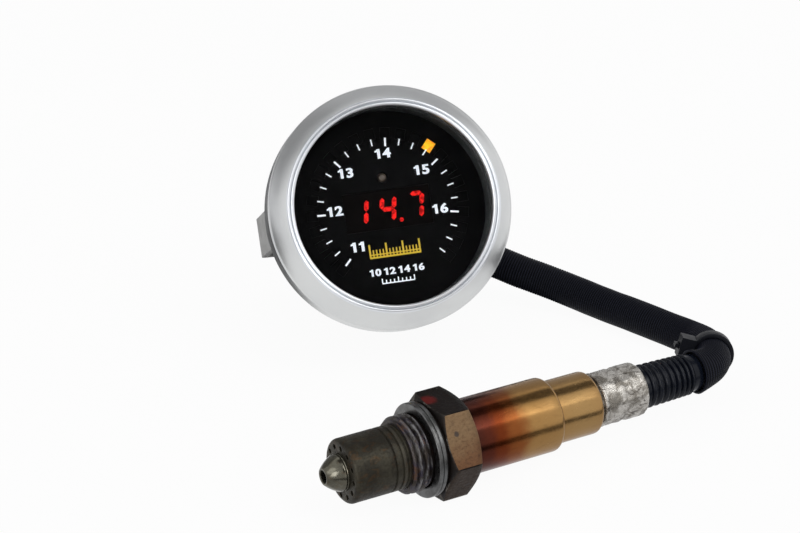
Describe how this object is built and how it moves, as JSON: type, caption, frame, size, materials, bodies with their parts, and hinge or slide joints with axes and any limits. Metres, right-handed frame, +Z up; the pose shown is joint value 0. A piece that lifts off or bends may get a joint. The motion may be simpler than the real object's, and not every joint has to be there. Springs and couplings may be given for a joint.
{
  "type": "air fuel ratio gauge",
  "caption": "Round panel gauge with a digital air fuel ratio display in a silver bezel, rear clamp, sleeved lead and a screw-in exhaust sensor with a perforated tip.",
  "frame": {"origin": "floor under the middle of the rigid pieces' bounding box, with the lead left out", "axes": "+Z up, +Y from the sensor in front to the gauge behind, +X towards the bend of the lead; the gauge faces -Y and up"},
  "size_m": [0.1092, 0.1354, 0.0668],
  "materials": {
    "can_plastic": null,
    "cover_plastic": "black moulded rear cover",
    "screw_steel": "zinc plated",
    "bezel_aluminium": "satin turned cone with a polished double lip",
    "lens_glass": "clear flat lens",
    "seal_rubber": "black",
    "reveal_plastic": "dark grey inner wall",
    "dial_black": "black dial with white print",
    "window_smoke": "smoked window, lamp off",
    "window_amber": "lamp on, amber",
    "baffle_plastic": "black light guide",
    "lamp_resin": "pale resin",
    "display_face": "dark red filter",
    "display_red": "lit bars, red",
    "sensor_window": "brown resin dome",
    "board_laminate": "green circuit board",
    "spacer_brass": "turned",
    "link_plastic": "black header",
    "chip_resin": "black resin",
    "capacitor_aluminium": "cans",
    "socket_plastic": "black housing",
    "contact_brass": "tubes",
    "relief_rubber": "black",
    "stud_steel": "zinc plated",
    "clamp_paint": "black painted steel strip",
    "washer_steel": "zinc plated",
    "nut_brass": "knurled, dull nickel over brass",
    "shell_steel": "heat-darkened, with grey compound on the thread",
    "ring_steel": "dull grey",
    "tube_steel": "heat-browned",
    "nose_steel": "bright cone with rust tints",
    "strip_ceramic": "white",
    "packing_ceramic": "white",
    "sleeve_steel": "heat-tinted bronze and gold",
    "cap_steel": "heat-tinted gold",
    "collar_steel": "bright, crimped",
    "boot_rubber": "black",
    "sleeve_fabric": "black woven sleeve",
    "tie_nylon": "black nylon"
  },
  "bodies": {
    "gauge_and_sensor": {"gauge_can": "can_plastic", "rear_cover": "cover_plastic", "cover_screws": "screw_steel", "reveal_ring": "reveal_plastic", "dial_plate": "dial_black", "lamp_windows": "window_smoke", "lit_window": "window_amber", "light_baffle": "baffle_plastic", "dial_lamps": "lamp_resin", "display_module": "display_face", "display_digits": "display_red", "light_sensor": "sensor_window", "front_board": "board_laminate", "rear_board": "board_laminate", "board_spacers": "spacer_brass", "board_screws": "screw_steel", "board_link": "link_plastic", "control_chips": "chip_resin", "capacitors": "capacitor_aluminium", "power_socket": "socket_plastic", "socket_contacts": "contact_brass", "strain_relief": "relief_rubber", "studs": "stud_steel", "sensor_shell": "shell_steel", "perforated_tube": "tube_steel", "nose_tube": "nose_steel", "sensing_strip": "strip_ceramic", "ceramic_packing": "packing_ceramic", "rear_sleeve": "sleeve_steel", "sleeve_cap": "cap_steel", "crimp_collar": "collar_steel", "ribbed_boot": "boot_rubber", "lead_sleeve": "sleeve_fabric", "cable_tie": "tie_nylon"},
    "lens_cell": {"lens": "lens_glass", "lens_seal": "seal_rubber"},
    "bezel_ring": {"bezel": "bezel_aluminium"},
    "clamp": {"clamp_bracket": "clamp_paint", "washers": "washer_steel"},
    "nut_left": {"left_nut": "nut_brass"},
    "nut_right": {"right_nut": "nut_brass"},
    "gasket": {"seal_ring": "ring_steel"}
  },
  "joints": [
    {"name": "bezel_lift", "type": "slide", "parent": "gauge_and_sensor", "child": "lens_cell", "axis": [0, -0.8746, 0.4848], "range_m": [0, 0.003]},
    {"name": "bezel_turn", "type": "hinge", "parent": "lens_cell", "child": "bezel_ring", "pos_m": [-0.0186, 0.01395, 0.04048], "axis": [0, -0.8746, 0.4848], "range_deg": [0, 720]},
    {"name": "clamp_slide", "type": "slide", "parent": "gauge_and_sensor", "child": "clamp", "axis": [0, -0.8746, 0.4848], "range_m": [-0.0028, 0.0028]},
    {"name": "left_nut_turn", "type": "hinge", "parent": "clamp", "child": "nut_left", "pos_m": [-0.03456, 0.05717, 0.01532], "axis": [0, -0.8746, 0.4848], "range_deg": [-1440, 1440]},
    {"name": "right_nut_turn", "type": "hinge", "parent": "clamp", "child": "nut_right", "pos_m": [-0.00264, 0.0582, 0.01717], "axis": [0, -0.8746, 0.4848], "range_deg": [-1440, 1440]},
    {"name": "gasket_spin", "type": "hinge", "parent": "gauge_and_sensor", "child": "gasket", "pos_m": [-0.0235, -0.0539, 0.011], "axis": [0.9385, 0.3453, 0], "continuous": true}
  ],
  "couplings": [
    {"joint": "bezel_turn", "follows": "bezel_lift", "rad_per_m": 4188.8},
    {"joint": "left_nut_turn", "follows": "clamp_slide", "rad_per_m": 8975.9},
    {"joint": "right_nut_turn", "follows": "clamp_slide", "rad_per_m": 8975.9}
  ]
}
